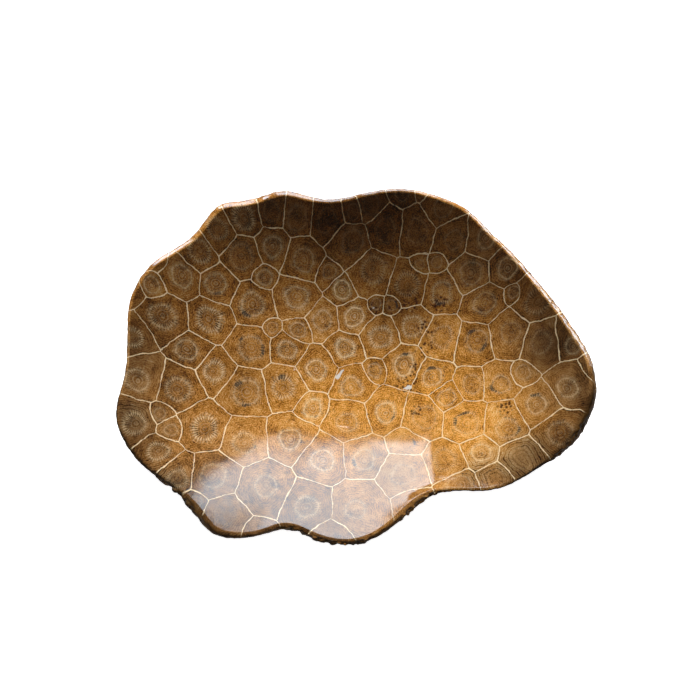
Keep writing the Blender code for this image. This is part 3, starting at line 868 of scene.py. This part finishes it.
ground = add_node(tree, MIX, {0: wall, 6: ground, 7: linear("#f4dcb0")}, output=2, data_type="RGBA")
calcite_edge = add_node(tree, MATH, {0: tremble, 1: 1.6, 2: calcite_gap}, operation="MULTIPLY_ADD")
calcite_mix = add_node(tree, RANGE, {0: calcite_edge, 1: -0.1, 2: 0.15, 3: 0.95, 4: 0.0})
ground = add_node(tree, MIX, {0: calcite_mix, 6: ground, 7: linear("#dfdad2")}, output=2, data_type="RGBA")

# A second, lighter wash of the same dark brown and painted shade.
umber_shade_mix = add_node(tree, MATH, {0: umber_and_shade, 1: 0.25}, operation="MULTIPLY")
ground = add_node(
    tree,
    MIX,
    {0: umber_shade_mix, 6: ground, 7: linear("#6a5a48")},
    output=2,
    data_type="RGBA",
    blend_type="MULTIPLY",
)

# Outside, the ground skin is dusty, with level streaks and pits of about 1 mm. It is darker, partly its own
# colour and partly painted shade.
strata_place = add_node(tree, VECTOR, {0: place, 1: (0.07, 0.07, 0.8)}, operation="MULTIPLY")
strata = add_node(tree, NOISE, {"Vector": strata_place, "Scale": 1.0, "Detail": 5.0, "Roughness": 0.7})
strata_and_shade_ramp = add_node(tree, RAMP, {0: strata})
set_ramp(
    strata_and_shade_ramp,
    [
        (0.32, linear("#140d07")),
        (0.45, linear("#332413")),
        (0.56, linear("#5a3f20")),
        (0.68, linear("#8c683a")),
    ],
)
strata_mix = add_node(tree, MATH, {0: skin_colour, 1: 0.92}, operation="MULTIPLY")
ground = add_node(tree, MIX, {0: strata_mix, 6: ground, 7: strata_and_shade_ramp}, output=2, data_type="RGBA")
# Painted shade: the outside is darkened further where it turns outward and down.
shade = add_node(tree, RANGE, {0: skin, 1: 0.35, 2: 0.95, 3: 1.0, 4: 0.6})
ground = add_node(tree, "ShaderNodeHueSaturation", {"Color": ground, "Value": shade})
pits = add_node(tree, CELLS, {"Vector": place, "Scale": 0.7}, output="Distance")
pits = add_node(tree, RANGE, {0: pits, 1: 0.05, 2: 0.4, 3: -1.0, 4: 0.0})
grit = add_node(tree, NOISE, {"Vector": place, "Scale": 2.5, "Detail": 3.0})
rough_relief = add_node(tree, MATH, {0: pits, 1: grit}, operation="ADD")
rough_relief = add_node(tree, MATH, {0: strata, 1: 1.5, 2: rough_relief}, operation="MULTIPLY_ADD")
rough_relief = add_node(tree, MATH, {0: rough_relief, 1: skin_matt}, operation="MULTIPLY")

# Under the polish the lines, grains and walls stand a few thousandths of a millimetre proud.
relief = add_node(tree, MATH, {0: cloud, 1: 0.12, 2: rough_relief}, operation="MULTIPLY_ADD")
relief = add_node(tree, MATH, {0: lines, 1: 0.008, 2: relief}, operation="MULTIPLY_ADD")
relief = add_node(tree, MATH, {0: grain, 1: 0.03, 2: relief}, operation="MULTIPLY_ADD")
relief = add_node(tree, MATH, {0: wall, 1: 0.03, 2: relief}, operation="MULTIPLY_ADD")
bump = add_node(tree, "ShaderNodeBump", {"Strength": 1.0, "Distance": 0.25 * MM, "Height": relief})
gloss = add_node(tree, RANGE, {0: skin_matt, 1: 0.0, 2: 1.0, 3: 0.05, 4: 0.7})
gloss = add_node(tree, MATH, {0: cloud, 1: 0.05, 2: gloss}, operation="MULTIPLY_ADD")

sheen = add_node(tree, RANGE, {0: skin_colour, 1: 0.3, 2: 1.0, 3: 0.5, 4: 0.12})
surface = add_node(
    tree,
    "ShaderNodeBsdfPrincipled",
    {"Base Color": ground, "Roughness": gloss, "IOR": 1.54, "Specular IOR Level": sheen, "Normal": bump},
)
add_node(tree, "ShaderNodeOutputMaterial", {"Surface": surface})

stone.data.materials.clear()
stone.data.materials.append(material)
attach(stone, "root")
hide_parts("bowl")

# The floor
# A plain sheet of pale translucent acrylic, far larger than the bowl, and lit from below as on a product
# table, so that it stays near white.
FLOOR_SIZE = 6.0
bpy.ops.object.select_all(action="DESELECT")
bpy.ops.mesh.primitive_plane_add(size=FLOOR_SIZE, location=(0.0, 0.0, 0.0))
floor = bpy.context.object
floor.name = "floor"
acrylic = bpy.data.materials.new("pale matt acrylic")
acrylic.use_nodes = True
acrylic_tree = acrylic.node_tree
acrylic_tree.nodes.clear()
acrylic_place = add_node(acrylic_tree, "ShaderNodeTexCoord", output="Object")
acrylic_cloud = add_node(acrylic_tree, NOISE, {"Vector": acrylic_place, "Scale": 3.0, "Detail": 2.0})
acrylic_colour = add_node(acrylic_tree, RAMP, {0: acrylic_cloud})
set_ramp(acrylic_colour, [(0.3, linear("#f4f3f1")), (0.7, linear("#f9f8f6"))])
acrylic_surface = add_node(
    acrylic_tree,
    "ShaderNodeBsdfPrincipled",
    {
        "Base Color": acrylic_colour,
        "Roughness": 0.9,
        "Specular IOR Level": 0.1,
        "Emission Color": linear("#ffffff"),
        "Emission Strength": 0.95,
    },
)
add_node(acrylic_tree, "ShaderNodeOutputMaterial", {"Surface": acrylic_surface})
floor.data.materials.append(acrylic)

# The backdrop
# A ring of the same acrylic stands round the floor, so that a low view is pale too. Only the camera sees
# it, so it doesn't change the light.
bpy.ops.object.select_all(action="DESELECT")
BACKDROP_RADIUS = 2.9
BACKDROP_HEIGHT = 4.0
bpy.ops.mesh.primitive_cylinder_add(
    vertices=96,
    radius=BACKDROP_RADIUS,
    depth=BACKDROP_HEIGHT,
    end_fill_type="NOTHING",
    location=(0.0, 0.0, BACKDROP_HEIGHT / 2),
)
backdrop = bpy.context.object
backdrop.name = "backdrop"
backdrop.visible_diffuse = False
backdrop.visible_glossy = False
backdrop.visible_shadow = False
backdrop.data.materials.append(acrylic)

# The light
# A tall window of seven panes behind the bowl shows in the polish of the front wall, and the sills beside
# it gleam in the lip. Two soft boxes, which the polish doesn't show, light the stone.
world = bpy.data.worlds.new("soft studio")
world.use_nodes = True
world.node_tree.nodes["Background"].inputs["Color"].default_value = linear("#f3f1ee")
world.node_tree.nodes["Background"].inputs["Strength"].default_value = 0.06
bpy.context.scene.world = world


WINDOW_BLUE = "#e0f0ff"
LAMP_WHITE = "#ffffff"
WINDOW_PLANE = 1.1
NEAR_PANE_LEAN = -0.17
BOWL_MIDDLE = Vector((0.0, 0.0, 0.03))


def add_light(name, centre, width, height, radiance, colour):
    """Adds an even rectangle of light, sized in metres, with its radiance in W per m2 and steradian."""
    data = bpy.data.lights.new(name, "AREA")
    data.shape = "RECTANGLE"
    data.size = width
    data.size_y = height
    data.energy = radiance * math.pi * width * height
    data.color = linear(colour)[:3]
    lamp = bpy.data.objects.new(name, data)
    lamp.location = centre
    lamp.rotation_euler = (BOWL_MIDDLE - Vector(centre)).to_track_quat("-Z", "Y").to_euler()
    bpy.context.scene.collection.objects.link(lamp)
    return lamp


def add_pane(name, left, right, bottom, top, radiance, lean=0.0):
    """Adds one upright pane of the window behind the bowl, which shows in the polish alone."""
    centre = ((left + right) / 2, WINDOW_PLANE, (bottom + top) / 2)
    pane = add_light(name, centre, right - left, top - bottom, radiance, WINDOW_BLUE)
    pane.rotation_euler = (-math.pi / 2, lean, 0.0)
    pane.visible_diffuse = False


add_pane("wide_pane_low", -0.285, 0.404, 0.03, 0.82, 8.4)
add_pane("wide_pane_middle", 0.016, 0.258, 0.82, 0.94, 9.5)
add_pane("wide_pane_high", 0.016, 0.24, 0.94, 1.06, 6.0)
add_pane("far_pane", 0.3, 0.326, 0.82, 1.03, 15.0)
add_pane("near_pane_high", -0.342, -0.033, 0.82, 1.03, 9.0, NEAR_PANE_LEAN)
add_pane("near_pane_middle", -0.297, 0.0, 0.5, 0.82, 12.5, NEAR_PANE_LEAN)
add_pane("near_pane_low", -0.285, -0.122, 0.03, 0.5, 7.5)
back_box = add_light("back_box", (0.12, 1.25, 0.9), 0.9, 0.45, 27.0, LAMP_WHITE)
top_box = add_light("top_box", (0.0, 0.0, 1.6), 1.0, 1.0, 0.5, LAMP_WHITE)
for lamp in (back_box, top_box):
    lamp.visible_glossy = False
left_sill = add_light("left_sill", (-0.58, 1.11, 0.27), 0.34, 0.34, 12.0, WINDOW_BLUE)
right_sill = add_light("right_sill", (1.04, 0.94, 0.4), 0.7, 0.41, 12.0, WINDOW_BLUE)
for lamp in (left_sill, right_sill):
    lamp.visible_diffuse = False

# The camera
# It looks down on the dish from in front, as the photograph does.
ELEVATION = math.radians(75.5)
DISTANCE = 0.681
TARGET = Vector((-0.0031, 0.0053, 0.038))
lens = bpy.data.cameras.new("camera")
lens.lens = 80.0
lens.sensor_width = 36.0
lens.clip_start = 0.05
lens.clip_end = 20.0
camera = bpy.data.objects.new("camera", lens)
camera.location = TARGET + DISTANCE * Vector((0.0, -math.cos(ELEVATION), math.sin(ELEVATION)))
camera.rotation_euler = (math.pi / 2 - ELEVATION, 0.0, 0.0)
bpy.context.scene.collection.objects.link(camera)
bpy.context.scene.camera = camera
bpy.context.scene.view_settings.view_transform = "Standard"
